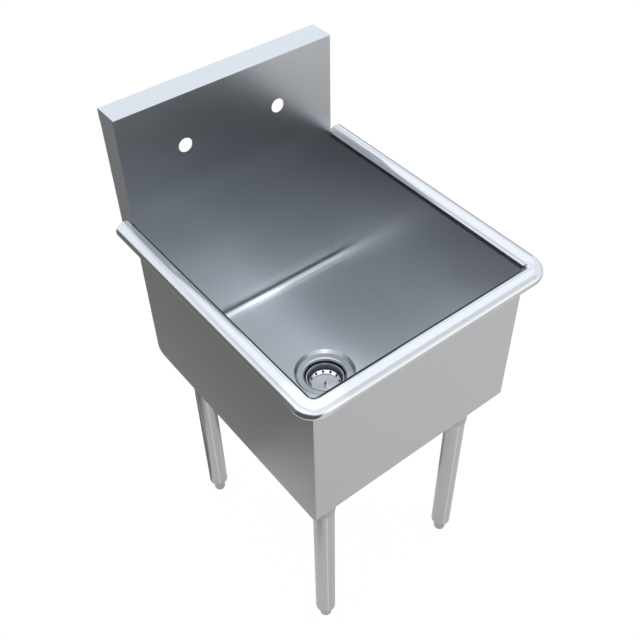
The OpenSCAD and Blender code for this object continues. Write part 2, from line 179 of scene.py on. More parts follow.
class Bench:
    """Adds nodes to one node tree and links them."""

    def __init__(self, tree: bpy.types.NodeTree) -> None:
        """Keeps the tree.

        Args:
            tree: The shader or geometry tree to add to.
        """
        self.tree = tree

    def node(self, kind: str, settings: dict[str, Any] | None = None,
             inputs: dict[int | str, Any] | None = None, output: int | str = 0) -> Term:
        """Adds one node of any type.

        Args:
            kind: Blender's type name for the node.
            settings: Attributes that are set before its sockets. The key stops gives a ramp's
                colour stops as pairs of position and colour.
            inputs: Values or terms for its input sockets, by number or name.
            output: The output socket to return, by number or name.

        Returns:
            The chosen output.
        """
        made = self.tree.nodes.new(kind)
        for key, value in (settings or {}).items():
            if key == "stops":
                self._set_stops(made.color_ramp, value)
            else:
                setattr(made, key, value)
        for key, value in (inputs or {}).items():
            socket = made.inputs[key]
            if isinstance(value, Term):
                self.tree.links.new(value.socket, socket)
            else:
                socket.default_value = value
        return Term(self, made.outputs[output] if made.outputs else None)

    def _set_stops(self, ramp: bpy.types.ColorRamp, stops: Sequence[tuple[float, tuple]]) -> None:
        """Gives a ramp its stops.

        Args:
            ramp: The ramp to change.
            stops: Pairs of position and colour.
        """
        while len(ramp.elements) > 1:
            ramp.elements.remove(ramp.elements[-1])
        for index, (position, colour) in enumerate(stops):
            stop = ramp.elements[0] if index == 0 else ramp.elements.new(position)
            stop.position = position
            stop.color = colour

    def place(self) -> Term:
        """The point on the surface, in metres in the sink's own frame."""
        return self.node("ShaderNodeTexCoord", output="Object")

    def mix(self, factor: Number, first: Any, second: Any, blend: str = "MIX") -> Term:
        """Mixes two colours.

        Args:
            factor: 0 for the first, 1 for the second.
            first: A colour or term.
            second: A colour or term.
            blend: How the second is laid over the first.

        Returns:
            The mixed colour.
        """
        settings = {"data_type": "RGBA", "blend_type": blend}
        return self.node("ShaderNodeMix", settings, {0: factor, 6: first, 7: second}, output=2)

    def noise(self, place: Term, scale: float, detail: float = 2.0, roughness: float = 0.5) -> Term:
        """Smooth noise about 0.5.

        Args:
            place: Where it is read.
            scale: Cells in a metre of place.
            detail: Number of finer layers.
            roughness: Strength of those layers.

        Returns:
            The noise's value.
        """
        inputs = {"Vector": place, "Scale": scale, "Detail": detail, "Roughness": roughness}
        return self.node("ShaderNodeTexNoise", {}, inputs, output=0)

    def stretched(self, place: Term, scale: Triple) -> Term:
        """Stretches a pattern along the axes.

        Args:
            place: The point to stretch.
            scale: Factor along each axis.

        Returns:
            The stretched point.
        """
        return self.node("ShaderNodeMapping", {}, {"Vector": place, "Scale": scale})

    def axes(self, place: Term) -> tuple[Term, Term, Term]:
        """Splits a point into its X, Y and Z."""
        outputs = self.node("ShaderNodeSeparateXYZ", {}, {0: place}).socket.node.outputs
        return tuple(Term(self, output) for output in outputs)

    def scaled(self, vector: Term, factor: Number) -> Term:
        """A colour or point times a number."""
        return self.node("ShaderNodeVectorMath", {"operation": "SCALE"}, {0: vector, "Scale": factor})

    def close(self, kind: str, result: Term) -> None:
        """Links the tree's result to a new output node of the given type."""
        self.tree.links.new(result.socket, self.tree.nodes.new(kind).inputs[0])


def fresh_bench(holder: bpy.types.Material | bpy.types.World) -> Bench:
    """Empties the tree of a material or of the world.

    Args:
        holder: The material or world.

    Returns:
        A bench for its tree.
    """
    holder.use_nodes = True
    holder.node_tree.nodes.clear()
    return Bench(holder.node_tree)


class Grain(Enum):
    """Which way a finish's polishing lines run."""

    ACROSS = (6.0, 1800.0, 1800.0)
    FRONT_TO_BACK = (1800.0, 6.0, 1800.0)
    UPRIGHT = (1800.0, 1800.0, 6.0)
    EVEN = (700.0, 700.0, 700.0)


def rgba(colour: Colour) -> tuple[float, float, float, float]:
    """A colour with full alpha."""
    return (*colour, 1.0)


def toned(colour: Colour, share: float) -> tuple[float, float, float, float]:
    """A colour times a share, with full alpha."""
    return rgba(tuple(min(1.0, channel * share) for channel in colour))


def at_level(level: float, shades: Shades, unit: float = 1.0) -> Shades:
    """Counts shades from a level.

    Args:
        level: The level that their heights are counted from.
        shades: Pairs of height and share.
        unit: What a height of 1 stands for, in metres.

    Returns:
        The same shades at heights in the sink's own frame.
    """
    return tuple((level + height * unit, share) for height, share in shades)


@dataclass(frozen=True)
class Finish:
    """What every finish has: its name and its main colour."""

    name: str
    colour: Colour

    def start(self) -> tuple[bpy.types.Material, Bench, bpy.types.Node]:
        """Makes an empty material.

        Returns:
            The material, the bench for its tree, and its main shader node.
        """
        material = bpy.data.materials.new(self.name)
        bench = fresh_bench(material)
        shader = bench.tree.nodes.new("ShaderNodeBsdfPrincipled")
        bench.close("ShaderNodeOutputMaterial", Term(bench, shader.outputs[0]))
        shader.inputs["Base Color"].default_value = rgba(self.colour)
        return material, bench, shader

    def join(self, bench: Bench, shader: bpy.types.Node, sockets: dict[str, Term]) -> None:
        """Links terms to the main shader's sockets.

        Args:
            bench: The material's bench.
            shader: Its main shader node.
            sockets: The terms, by socket name.
        """
        for name, term in sockets.items():
            bench.tree.links.new(term.socket, shader.inputs[name])

    def bump(self, bench: Bench, height: Term, depth: float = 1.0) -> Term:
        """Turns a height into a bent normal.

        Args:
            bench: The material's bench.
            height: The height.
            depth: What a height of 1 stands for, in metres.

        Returns:
            The normal.
        """
        return bench.node("ShaderNodeBump", {}, {"Height": height, "Distance": depth, "Strength": 1.0})

    def make(self) -> bpy.types.Material:
        """Builds the material."""
        return self.start()[0]


@dataclass(frozen=True)
class Ease:
    """Sloped band from low to high that looks less steep, as a soft press leaves its corners."""

    low: float
    high: float
    gain: float

    def height(self, level: Term) -> Term:
        """The height in metres that the bump adds at a level."""
        return (level - self.low).at_least(0.0).at_most(self.high - self.low) * -self.gain


@dataclass(frozen=True)
class Glint:
    """Painted highlight: a brighter patch round a point, which fades faster in height than across."""

    place: Triple
    reach: float
    gain: float
    # How much faster it fades in height, squared
    squash: float = 4.0

    def lift(self, at: Sequence[Term]) -> Term:
        """The share of brightness that the painted highlight gives a point, given by its X, Y and Z."""
        x, y, z = (axis - middle for axis, middle in zip(at, self.place))
        away = (x * x + y * y + z * z * self.squash) * (1 / self.reach**2)
        return away.step(1.0, 0.0) * self.gain + 1


@dataclass(frozen=True)
class HighlightStripe:
    """Painted highlight: a brighter line up one side of a tube."""

    centre: Pair
    turn: float
    # Half the width that is brightest, and half the width where the line has faded out
    core: float = 0.0008
    blur: float = 0.0018
    # Distance from the axis past which the painted highlight counts, so that it shows on one side
    front: float = 0.004
    gain: float = 0.3

    def lift(self, at: Sequence[Term]) -> Term:
        """The share of brightness at a point, given by its X, Y and Z."""
        x, y = (axis - middle for axis, middle in zip(at, self.centre))
        side = y * math.cos(self.turn) - x * math.sin(self.turn)
        front = y * math.sin(self.turn) + x * math.cos(self.turn)
        band = (side * side).step(self.blur**2, self.core**2) * front.step(0.0, self.front)
        return band * self.gain + 1


@dataclass(frozen=True)
class HoleRing:
    """Dark edges round a ring of small holes, painted as the shadow inside them."""

    count: int
    radius: float
    level: float
    edge: float
    # Where an edge has faded out, as a factor on its radius squared
    blur: float = 1.25
    dark: Colour = (0.01, 0.01, 0.01)

    def drill(self, bench: Bench, at: Sequence[Term], reach: Term, colour: Term) -> Term:
        """Darkens a colour round the holes with painted shadow.

        Args:
            bench: The material's bench.
            at: The point's X, Y and Z from the ring's axis.
            reach: Its distance from that axis.
            colour: The colour to change.

        Returns:
            The changed colour.
        """
        x, y, z = at
        turn = (y.angle_to(x) * (self.count / (2 * math.pi)) + 0.5).fraction() - 0.5
        along = turn * (self.radius * 2 * math.pi / self.count)
        away, up = reach - self.radius, z - self.level
        clear = (away * away + up * up + along * along).step(self.edge**2, self.edge**2 * self.blur)
        return bench.mix(clear, rgba(self.dark), colour)


def shaded(bench: Bench, level: Term, colour: Term, shades: Shades) -> Term:
    """Darkens or brightens a colour by height, as painted shade and painted highlight.

    Args:
        bench: The material's bench.
        level: Height of the point.
        colour: The colour to change.
        shades: Pairs of height and share of the colour, from the lowest up.

    Returns:
        The changed colour.
    """
    low, high = shades[0][0], shades[-1][0]
    stops = [((height - low) / (high - low), rgba((share, share, share))) for height, share in shades]
    ramp = bench.node("ShaderNodeValToRGB", {"stops": stops}, {0: (level - low) / (high - low)})
    return bench.mix(1.0, colour, ramp, blend="MULTIPLY")


def left_where(mask: Term, share: float) -> Term:
    """The brightness that is left where a mask keeps only a share of it."""
    return 1 - mask * (1 - share)


@dataclass(frozen=True)
class RollPolishAndPaintedLight:
    """Buffing of a roll and a ledge, partly painted highlight, with painted shade in the roll's crease and
    painted light and shade on the bowl.

    Attributes:
        axis: The axis across the roll, 0 for X and 1 for Y.
        sense: 1 for the sink's positive side, -1 for the other.
        wall: Distance of the wall's inner face from the sink's middle.
        middle: Height of the roll's centre.
        radius: Its radius.
        sheet: Thickness of the sheet.
        crease_shade_top: Top of the painted crease shadow above the roll's centre.
        crease_shade_foot: Its foot above the roll's centre.
        crease_shade_share: Brightness left in it.
        crease_shade_blur: How softly it ends above, in sheets.
        lip_rise: Where the buffing and its painted highlight outside the wall start and are full, in
            sheets.
        flank_shade_share: Brightness left by a painted shade band along the roll's outer flank.
        flank_rise: Where that band starts and is full, in radii from the wall.
        flank_fall: Where it has ended and is still full, in radii from the wall.
        inner_share: Brightness left by painted shade on the bowl's side of the sheet.
        inner_low: Height above which that share holds.
        inner_tint: Painted colour cast of that side.
        inner_fall: Where that side has ended and still counts in full, in half sheets.
        inner_blur: Height within which its share sets in.
        floor_share: Brightness of the floor, raised as painted light.
        floor_blur: Half the height round inner_low within which the floor's share ends.
        bend: Y of the rear wall, height of the floor and radius of the soft bend between them.
        bend_rise: Where the bend starts and is full, in its radii from the rear wall.
        bend_fall: Where it has ended and is still full above the floor, in its radii.
        bend_share: How strongly it carries a painted highlight.
        bend_gain: How much brighter its painted highlight is from the middle to the right.
        floor_gain: How much brighter the floor's painted light is there.
        right_rise: Where the right half starts and is full, in distances of the wall.
        recess: Depth of the pressed recess.
        recess_share: How strongly its slope carries a painted highlight.
        ledge: Height above which the sheet is a ledge.
        ledge_share: How far that is buffed, partly as a painted highlight.
    """

    axis: int
    sense: int
    wall: float
    middle: float
    radius: float
    sheet: float
    crease_shade_top: float
    crease_shade_foot: float
    crease_shade_share: float
    crease_shade_blur: float = 0.5
    lip_rise: Pair = (1.1, 1.6)
    flank_shade_share: float = 1.0
    flank_rise: Pair = (1.15, 1.5)
    flank_fall: Pair = (1.8, 1.62)
    inner_share: float = 1.0
    inner_low: float = 0.4
    inner_tint: Colour = (0.99, 1.0, 1.005)
    inner_fall: Pair = (1.4, 0.6)
    inner_blur: float = 0.1
    floor_share: float = 1.0
    floor_blur: float = 0.02
    bend: Triple | None = None
    bend_rise: Pair = (-1.4, -0.7)
    bend_fall: Pair = (1.2, 0.6)
    bend_share: float = 0.55
    bend_gain: float = 0.25
    floor_gain: float = 0.26
    right_rise: Pair = (-0.25, 0.25)
    recess: float = 0.009
    recess_share: float = 0.6
    ledge: float = 9.0
    ledge_share: float = 0.25

    def masks(self, bench: Bench, place: Term) -> tuple[Term, Term, Term]:
        """Builds the mask of the buffed part, which is partly painted highlight, and how much painted shade
        and light leave of each part's brightness.

        Args:
            bench: The material's bench.
            place: The point on the surface.

        Returns:
            1 on the buffed part, which is partly painted highlight, and 0 elsewhere, the share of the
            colour that painted shade and light leave, and the painted colour cast.
        """
        x, y, height = bench.axes(place)
        out = (x, y)[self.axis] * self.sense
        edge = self.sheet / 2
        outside = self._beyond(out, self.sheet, self.lip_rise)
        raised = height.step(self.middle - edge, self.middle + edge) * self._beyond(out, edge, (-1, 0))
        ledge = height.step(self.ledge, self.ledge + edge) * self.ledge_share
        # Painted shadow in the crease inside the roll
        line = self._crease_shade_mask(out, height, edge)
        # Painted shade along the roll's outer flank
        flank = self._beyond(out, self.radius, self.flank_rise)
        flank = flank * self._beyond(out, self.radius, self.flank_fall)
        # Painted shade on the bowl's walls and painted light on its floor
        inner = self._beyond(out, edge, self.inner_fall)
        wall = inner * height.step(self.inner_low, self.inner_low + self.inner_blur)
        wall = wall * (1 - raised) * (1 - ledge)
        floor = inner * height.step(self.inner_low + self.floor_blur, self.inner_low - self.floor_blur)
        share = left_where(line, self.crease_shade_share) * left_where(flank, self.flank_shade_share)
        share = share * left_where(wall, self.inner_share) * left_where(floor, self.floor_share)
        # Buffed parts, which are partly painted highlight
        buffed = outside.at_least(raised).at_least(ledge)
        # Painted highlight on the cove between rear wall and floor and on the recess's slope, stronger to
        # the right
        if self.bend:
            rear, foot, reach = self.bend
            bend = y.step(*(rear + reach * rise for rise in self.bend_rise))
            bend = bend * height.step(*(foot + reach * fall for fall in self.bend_fall))
            right = x.step(*(self.wall * rise for rise in self.right_rise))
            buffed = buffed.at_least(bend * right * self.bend_share)
            share = share * (bend * right * self.bend_gain + 1) * (floor * right * self.floor_gain + 1)
            slope = height.step(foot - edge / 2, foot - self.sheet)
            slope = slope * height.step(foot - self.recess, foot - self.recess + edge)
            buffed = buffed.at_least(slope * inner * self.recess_share)
        return buffed, share, bench.mix(inner, WHITE, rgba(self.inner_tint))

    def _beyond(self, out: Term, unit: float, rise: Pair) -> Term:
        """Builds the mask of what lies beyond the wall's inner face.

        Args:
            out: Distance from the middle of the sink.
            unit: What the rise is counted in.
            rise: Where the mask is 0 and where it is 1, counted from the wall's inner face.

        Returns:
            The mask.
        """
        return out.step(*(self.wall + unit * reach for reach in rise))

    def _crease_shade_mask(self, out: Term, height: Term, edge: float) -> Term:
        """Builds the mask of the painted crease shadow inside the roll.

        Args:
            out: Distance from the middle of the sink.
            height: Height of the point.
            edge: Half the sheet's thickness, within which the line fades out.

        Returns:
            The mask.
        """
        foot, top = self.middle + self.crease_shade_foot, self.middle + self.crease_shade_top
        band = height.step(foot - edge, foot + edge)
        band = band * height.step(top + self.crease_shade_blur * self.sheet, top - edge)
        crown = self.wall + self.radius
        return band * self._beyond(out, edge, (-2, -1)) * out.step(crown, crown - edge)


@dataclass(frozen=True)
class BrushedSteel(Finish):
    """Stainless steel brushed along one direction, with a roll or ledge that is buffed brighter, partly as
    a painted highlight.
    """

    grain: Grain = Grain.ACROSS
    roughness: float = 0.3
    # How much lines and clouds vary the roughness, and the colour
    streaks: float = 0.01
    clouds: float = 0.012
    depth: float = 0.00000015
    line_weight: float = 0.6
    cloud_scale: float = 5.0
    ease: Ease | None = None
    shades: Shades = ()
    glint: Glint | None = None
    highlight_stripe: HighlightStripe | None = None
    polish_and_light: RollPolishAndPaintedLight | None = None
    # Colour of the buffing, brighter as a painted highlight
    bright: Colour = (0.645, 0.655, 0.668)
    # Share of that colour between its streaks, and the noise values where a streak starts and is full
    bright_dull: float = 0.94
    bright_streaks: Pair = (0.3, 0.6)
    bright_roughness: float = 0.15

    def make(self) -> bpy.types.Material:
        """Builds the material.

        Returns:
            Steel with fine lines, faint long bands and soft cloudy wear.
        """
        material, bench, shader = self.start()
        place = bench.place()
        lines = bench.noise(bench.stretched(place, self.grain.value), 1.0, detail=3.0, roughness=0.6)
        clouds = bench.noise(place, self.cloud_scale, detail=3.0)
        dark, light = toned(self.colour, 1 - self.clouds), toned(self.colour, 1 + self.clouds)
        colour = bench.mix(lines * self.line_weight + clouds * (1 - self.line_weight), dark, light)
        rough = self.roughness + (lines - 0.5) * self.streaks + (clouds - 0.5) * self.streaks
        # Buffing with painted highlight, and painted shade and colour cast, from the roll's masks
        if self.polish_and_light:
            mask, share, tint = self.polish_and_light.masks(bench, place)
            colour = bench.mix(mask, colour, self._buffed_highlight_colour(bench, place))
            colour = bench.node("ShaderNodeVectorMath", {"operation": "MULTIPLY"},
                                {0: colour, 1: bench.scaled(tint, share)})
            rough = rough + mask * (self.bright_roughness - self.roughness)
        at = bench.axes(place)
        # Painted shade and painted highlight by height
        if self.shades:
            colour = shaded(bench, at[2], colour, self.shades)
        # Painted highlights: the glint on the rim's corner and the line up a leg
        for patch in (self.glint, self.highlight_stripe):
            if patch:
                colour = bench.scaled(colour, patch.lift(at))
        height = lines * self.depth
        if self.ease:
            height = height + self.ease.height(at[2])
        shader.inputs["Metallic"].default_value = 1.0
        self.join(bench, shader, {
            "Base Color": colour, "Roughness": rough, "Normal": self.bump(bench, height)})
        return material

    def _buffed_highlight_colour(self, bench: Bench, place: Term) -> Term:
        """The colour of what is buffed, brighter as a painted highlight, with streaks twice as wide as the
        lines.
        """
        wide = bench.stretched(place, tuple(scale / 2 for scale in self.grain.value))
        streaks = bench.noise(wide, 1.0, detail=2.0, roughness=0.6).step(*self.bright_streaks)
        return bench.mix(streaks, toned(self.bright, self.bright_dull), rgba(self.bright))


@dataclass(frozen=True)
class SpunSteel(Finish):
    """Stainless steel spun on a lathe, with rings round the drain's axis."""

    centre: Pair = (0.0, 0.0)
    roughness: float = 0.2
    streaks: float = 0.12
    rings: float = 900.0
    depth: float = 0.00001
    # How far highlights are drawn out, and the part of a turn that lays them across the rings
    stretch: float = 0.5
    stretch_turn: float = 0.25
    cloud_scale: float = 40.0
    dull: float = 0.93
    shades: Shades = ()
    holes: HoleRing | None = None
    ease: Ease | None = None

    def make(self) -> bpy.types.Material:
        """Builds the material.

        Returns:
            Steel with fine rings and highlights drawn out across them.
        """
        material, bench, shader = self.start()
        place = bench.place()
        offset = bench.node("ShaderNodeVectorMath", {"operation": "SUBTRACT"},
                            {0: place, 1: (*self.centre, 0.0)})
        at = x, y, z = bench.axes(offset)
        reach = (x * x + y * y) ** 0.5
        ring_place = bench.node("ShaderNodeCombineXYZ", {},
                                {0: reach * self.rings, 1: z * self.rings, 2: 0.0})
        rings = bench.noise(ring_place, 1.0, detail=3.0, roughness=0.6)
        clouds = bench.noise(place, self.cloud_scale)
        colour = bench.mix(rings * 0.5 + clouds * 0.5, toned(self.colour, self.dull), rgba(self.colour))
        # Painted shade and painted highlight by height
        if self.shades:
            colour = shaded(bench, z, colour, self.shades)
        # Painted shadow round the holes
        if self.holes:
            colour = self.holes.drill(bench, at, reach, colour)
        height = rings * self.depth
        if self.ease:
            height = height + self.ease.height(z)
        shader.inputs["Metallic"].default_value = 1.0
        shader.inputs["Anisotropic"].default_value = self.stretch
        shader.inputs["Anisotropic Rotation"].default_value = self.stretch_turn
        self.join(bench, shader, {
            "Base Color": colour,
            "Roughness": self.roughness + (rings - 0.5) * self.streaks,
            "Normal": self.bump(bench, height),
        })
        return material


@dataclass(frozen=True)
class Mottled(Finish):
    """Finish with patches that vary its colour and its gloss, over a fine grain."""

    roughness: float = 0.45
    patchy: float = 0.2
    depth: float = 0.00004
    metallic: float = 1.0

    def pattern(self, bench: Bench, place: Term) -> tuple[Term, Term, Term]:
        """Draws the pattern.

        Args:
            bench: The material's bench.
            place: The point on the surface.

        Returns:
            The colour, the patches and the grain.
        """
        raise NotImplementedError

    def make(self) -> bpy.types.Material:
        """Builds the material.

        Returns:
            A finish with the pattern's colour, uneven gloss and a fine bump.
        """
        material, bench, shader = self.start()
        colour, patches, grain = self.pattern(bench, bench.place())
        shader.inputs["Metallic"].default_value = self.metallic
        self.join(bench, shader, {
            "Base Color": colour,
            "Roughness": self.roughness + (patches - 0.5) * self.patchy,
            "Normal": self.bump(bench, grain, self.depth),
        })
        return material


@dataclass(frozen=True)
class CastMetal(Mottled):
    """Die-cast metal with a fine granular skin."""

    patches: float = 60.0
    dull: float = 0.85
    grains: float = 1400.0

    def pattern(self, bench: Bench, place: Term) -> tuple[Term, Term, Term]:
        """Dull and clean patches over fine grains."""
        flow, grit = bench.noise(place, self.patches, detail=3.0), bench.noise(place, self.grains)
        return bench.mix(flow, toned(self.colour, self.dull), rgba(self.colour)), flow, grit


@dataclass(frozen=True)
class Rubber(Mottled):
    """Moulded black rubber."""

    roughness: float = 0.6
    depth: float = 0.00003
    metallic: float = 0.0
    bloom: float = 45.0
    bloom_edge: Pair = (0.45, 0.8)
    dusty: Colour = (0.076, 0.076, 0.0804)
    pits: float = 2200.0

    def pattern(self, bench: Bench, place: Term) -> tuple[Term, Term, Term]:
        """A dusty bloom over a fine pitted skin."""
        bloom, pits = bench.noise(place, self.bloom, detail=4.0), bench.noise(place, self.pits)
        return bench.mix(bloom.step(*self.bloom_edge), rgba(self.colour), rgba(self.dusty)), bloom, pits


@dataclass(frozen=True)
class Fibre(Mottled):
    """Pressed fibre board."""

    roughness: float = 0.8
    depth: float = 0.00008
    metallic: float = 0.0
    fibres: Triple = (900.0, 260.0, 400.0)
    dull: float = 0.6

    def pattern(self, bench: Bench, place: Term) -> tuple[Term, Term, Term]:
        """Short fibres, which give the patches as well as the grain."""
        hairs = bench.noise(bench.stretched(place, self.fibres), 1.0, detail=4.0, roughness=0.7)
        return bench.mix(hairs, toned(self.colour, self.dull), rgba(self.colour)), hairs, hairs


@dataclass(frozen=True)
class WeldMetal(Mottled):
    """Weld metal with its heat tint brushed back."""

    roughness: float = 0.35
    patchy: float = 0.3
    depth: float = 0.00003
    patches: float = 90.0
    straw: Colour = (0.5, 0.42, 0.3)
    blue: Colour = (0.36, 0.38, 0.5)
    tint_share: float = 0.35
    grains: float = 1800.0

    def pattern(self, bench: Bench, place: Term) -> tuple[Term, Term, Term]:
        """Draws straw and blue patches.

        Args:
            bench: The material's bench.
            place: The point on the surface.

        Returns:
            The colour, the patches and the grain.
        """
        heat = bench.noise(place, self.patches, detail=3.0)
        plain = rgba(self.colour)
        stops = [(0.35, plain), (0.5, rgba(self.straw)), (0.62, rgba(self.blue)), (0.75, plain)]
        tint = bench.node("ShaderNodeValToRGB", {"stops": stops}, {0: heat})
        return bench.mix(self.tint_share, plain, tint), heat, bench.noise(place, self.grains)


class Slot(Enum):
    """Names of two material slots, which no added piece uses."""

    SOCKET = "socket_steel"
    STRAINER = "strainer_steel"


def dress(node: str, material: bpy.types.Material) -> None:
    """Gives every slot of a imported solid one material.

    Args:
        node: The solid's name.
        material: What it is finished in.
    """
    mesh = frame["nodes"][node].data
    for index in range(len(mesh.materials)):
        mesh.materials[index] = material
    LOG.info("dressed %s in %s", node, material.name)


def add_object(name: str, data: bpy.types.ID) -> bpy.types.Object:
    """Makes an object and links it to the scene.

    Args:
        name: Its name.
        data: The mesh, lamp or camera that it shows.

    Returns:
        The object.
    """
    made = bpy.data.objects.new(name, data)
    bpy.context.scene.collection.objects.link(made)
    return made


class GeometryRecipe:
    """A geometry node tree with named inputs, turned into a plain mesh piece."""

    def __init__(self, name: str, inputs: dict[str, float | int]) -> None:
        """Makes the empty tree and its inputs.

        Args:
            name: The tree's name.
            inputs: Default value of each named input; whole numbers become integer inputs.
        """
        self.tree = bpy.data.node_groups.new(name, "GeometryNodeTree")
        self.bench = Bench(self.tree)
        self.sockets: dict[str, str] = {}
        for label, value in inputs.items():
            kind = "NodeSocketInt" if isinstance(value, int) else "NodeSocketFloat"
            made = self.tree.interface.new_socket(label, in_out="INPUT", socket_type=kind)
            made.default_value = value
            self.sockets[label] = made.identifier
        self.tree.interface.new_socket("Geometry", in_out="OUTPUT", socket_type="NodeSocketGeometry")
        self.entry = self.tree.nodes.new("NodeGroupInput")

    def size(self, label: str) -> Term:
        """The term of a named input."""
        return Term(self.bench, self.entry.outputs[label])

    def close(self, geometry: Term, material: bpy.types.Material) -> None:
        """Ends the tree in realised, smooth geometry with its material.

        Args:
            geometry: What the tree makes.
            material: Its finish.
        """
        solid = self.bench.node("GeometryNodeRealizeInstances", {}, {0: geometry})
        smooth = self.bench.node("GeometryNodeSetShadeSmooth", {}, {0: solid})
        self.bench.close("NodeGroupOutput", self.bench.node(
            "GeometryNodeSetMaterial", {}, {0: smooth, "Material": material}))

    def piece(self, name: str, sizes: dict[str, float | int]) -> bpy.types.Object:
        """Runs the tree and keeps its result as a plain mesh.

        Args:
            name: The new piece's name.
            sizes: Values for the named inputs.

        Returns:
            The new piece, at the origin.
        """
        carrier = add_object(name + "_carrier", bpy.data.meshes.new(name + "_carrier"))
        modifier = carrier.modifiers.new("recipe", "NODES")
        modifier.node_group = self.tree
        for label, value in sizes.items():
            modifier[self.sockets[label]] = value
        graph = bpy.context.evaluated_depsgraph_get()
        mesh = bpy.data.meshes.new_from_object(carrier.evaluated_get(graph))
        mesh.name = name
        carrier.modifiers.remove(modifier)
        bpy.data.objects.remove(carrier)
        return add_object(name, mesh)


def shift_mesh(piece: bpy.types.Object, place: Sequence[float]) -> None:
    """Moves a piece's mesh, so that its object stays at the origin.

    Args:
        piece: The piece.
        place: Where its own zero goes, in metres.
    """
    piece.data.transform(Matrix.Translation(Vector(place)))


def fasten(piece: bpy.types.Object, body: str) -> None:
    """Lets a piece ride on a body.

    Args:
        piece: The finished piece.
        body: The body's name.
    """
    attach(piece, body)
    LOG.info("%s rides on %s with %d faces", piece.name, body, len(piece.data.polygons))


@dataclass
class WeldRing:
    """Weld bead of overlapping ripples round a circle."""

    bead: float = 0.0021
    pitch: float = 0.0019
    # How far a ripple's centre lies below the plate's face, in radii
    sink: float = 0.75
    # A ripple's length, and its least and greatest width, in diameters
    length: float = 0.85
    swell: Pair = (0.86, 1.1)
    # Its height, in widths
    rise: float = 0.8
    seed: int = 7

    def recipe(self, material: bpy.types.Material) -> GeometryRecipe:
        """Builds the tree.

        Args:
            material: The bead's finish.

        Returns:
            A tree with the inputs Radius, Count, Bead and Seed.
        """
        sizes = {"Radius": 0.046, "Count": 120, "Bead": self.bead, "Seed": self.seed}
        made = GeometryRecipe("weld_ring", sizes)
        bench = made.bench
        circle = bench.node("GeometryNodeCurvePrimitiveCircle", {"mode": "RADIUS"},
                            {"Resolution": made.size("Count"), "Radius": made.size("Radius")})
        ball = bench.node("GeometryNodeMeshIcoSphere", {}, {"Radius": made.size("Bead"), "Subdivisions": 2})
        tangent = bench.node("GeometryNodeInputTangent")
        turn = bench.node("FunctionNodeAlignRotationToVector", {"axis": "X"}, {"Vector": tangent})
        swell = bench.node("FunctionNodeRandomValue", {"data_type": "FLOAT"},
                           {2: self.swell[0], 3: self.swell[1], "Seed": made.size("Seed")}, output=1)
        scale = bench.node("ShaderNodeCombineXYZ", {}, {0: self.length, 1: swell, 2: swell * self.rise})
        beads = bench.node("GeometryNodeInstanceOnPoints", {},
                           {"Points": circle, "Instance": ball, "Rotation": turn, "Scale": scale})
        made.close(beads, material)
        return made


@dataclass
class ScrewThread:
    """Rolled thread that winds round an upright cylinder."""

    pitch: float = 0.0018
    crest: float = 0.0009
    # How deep the ridge's centre lies in the cylinder, in radii of the crest
    buried: float = 0.45
    steps: int = 96
    sides: int = 6

    def recipe(self, material: bpy.types.Material) -> GeometryRecipe:
        """Builds the tree.

        Args:
            material: The thread's finish.

        Returns:
            A tree with the inputs Radius, Height, Turns and Crest.
        """
        sizes = {"Radius": 0.0432, "Height": 0.01, "Turns": 5.0, "Crest": self.crest}
        made = GeometryRecipe("screw_thread", sizes)
        bench = made.bench
        helix = bench.node("GeometryNodeCurveSpiral", {}, {
            "Resolution": self.steps, "Rotations": made.size("Turns"), "Start Radius": made.size("Radius"),
            "End Radius": made.size("Radius"), "Height": made.size("Height")})
        ridge = bench.node("GeometryNodeCurvePrimitiveCircle", {"mode": "RADIUS"},
                           {"Resolution": self.sides, "Radius": made.size("Crest")})
        thread = bench.node("GeometryNodeCurveToMesh", {},
                            {"Curve": helix, "Profile Curve": ridge, "Fill Caps": True})
        made.close(thread, material)
        return made


